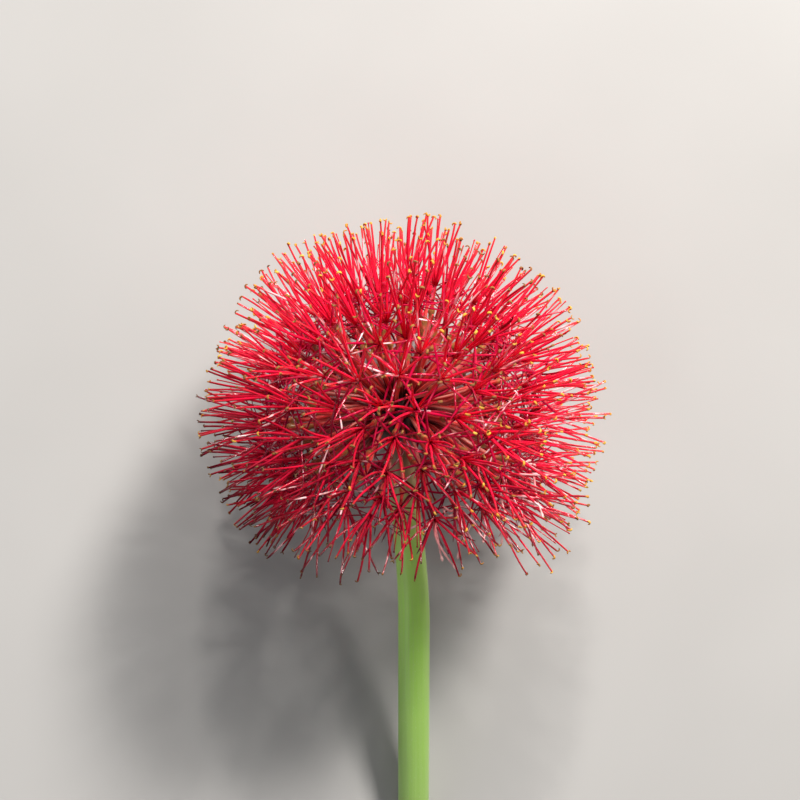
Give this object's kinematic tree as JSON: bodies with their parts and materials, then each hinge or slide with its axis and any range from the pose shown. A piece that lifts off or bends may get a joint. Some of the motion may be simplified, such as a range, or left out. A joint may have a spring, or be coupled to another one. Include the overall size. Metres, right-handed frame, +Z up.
{
  "type": "blood lily flower",
  "caption": "Round head of narrow red flowers with long yellow-tipped stamens on a thick bare green stem, cut and lying on its side.",
  "frame": {"origin": "on the table under the middle of the bounding box", "axes": "+Y along the flower from the cut end of its stem to the head, +Z up from the table, +X to the right when seen from above with the head away from the viewer"},
  "size_m": [0.195, 0.3026, 0.1763],
  "materials": {
    "green_stem": "satin",
    "red_flower": "satin",
    "pedicel_skin": "satin",
    "yellow_anther": "matte"
  },
  "bodies": {
    "root": {"scape": "green_stem", "flower_cyme_01": "red_flower", "flower_cyme_02": "red_flower", "flower_cyme_03": "red_flower", "flower_cyme_04": "red_flower", "flower_cyme_05": "red_flower", "flower_cyme_06": "red_flower", "flower_cyme_07": "red_flower", "flower_cyme_08": "red_flower", "flower_cyme_09": "red_flower", "flower_cyme_10": "red_flower", "flower_cyme_11": "red_flower", "flower_cyme_12": "red_flower", "flower_cyme_13": "red_flower", "flower_cyme_14": "red_flower", "flower_cyme_15": "red_flower", "flower_cyme_16": "red_flower", "flower_cyme_17": "red_flower", "flower_cyme_18": "red_flower", "flower_cyme_19": "red_flower", "flower_cyme_20": "red_flower", "flower_cyme_21": "red_flower", "flower_cyme_22": "red_flower", "flower_cyme_23": "red_flower", "flower_cyme_24": "red_flower", "flower_cyme_25": "red_flower", "flower_cyme_26": "red_flower", "flower_cyme_27": "red_flower", "flower_cyme_28": "red_flower", "flower_cyme_29": "red_flower", "flower_cyme_30": "red_flower", "flower_cyme_31": "red_flower", "flower_cyme_32": "red_flower", "flower_cyme_33": "red_flower", "flower_cyme_34": "red_flower", "flower_cyme_35": "red_flower", "flower_cyme_36": "red_flower", "flower_cyme_37": "red_flower", "flower_cyme_38": "red_flower", "flower_cyme_39": "red_flower", "flower_cyme_40": "red_flower", "flower_cyme_41": "red_flower", "flower_cyme_42": "red_flower", "flower_cyme_43": "red_flower", "flower_cyme_44": "red_flower", "flower_cyme_45": "red_flower", "flower_cyme_46": "red_flower", "flower_cyme_47": "red_flower", "flower_cyme_48": "red_flower", "flower_cyme_49": "red_flower", "flower_cyme_50": "red_flower", "flower_cyme_51": "red_flower", "flower_cyme_52": "red_flower", "flower_cyme_53": "red_flower", "flower_cyme_54": "red_flower", "flower_cyme_55": "red_flower", "flower_cyme_56": "red_flower"}
  },
  "joints": []
}
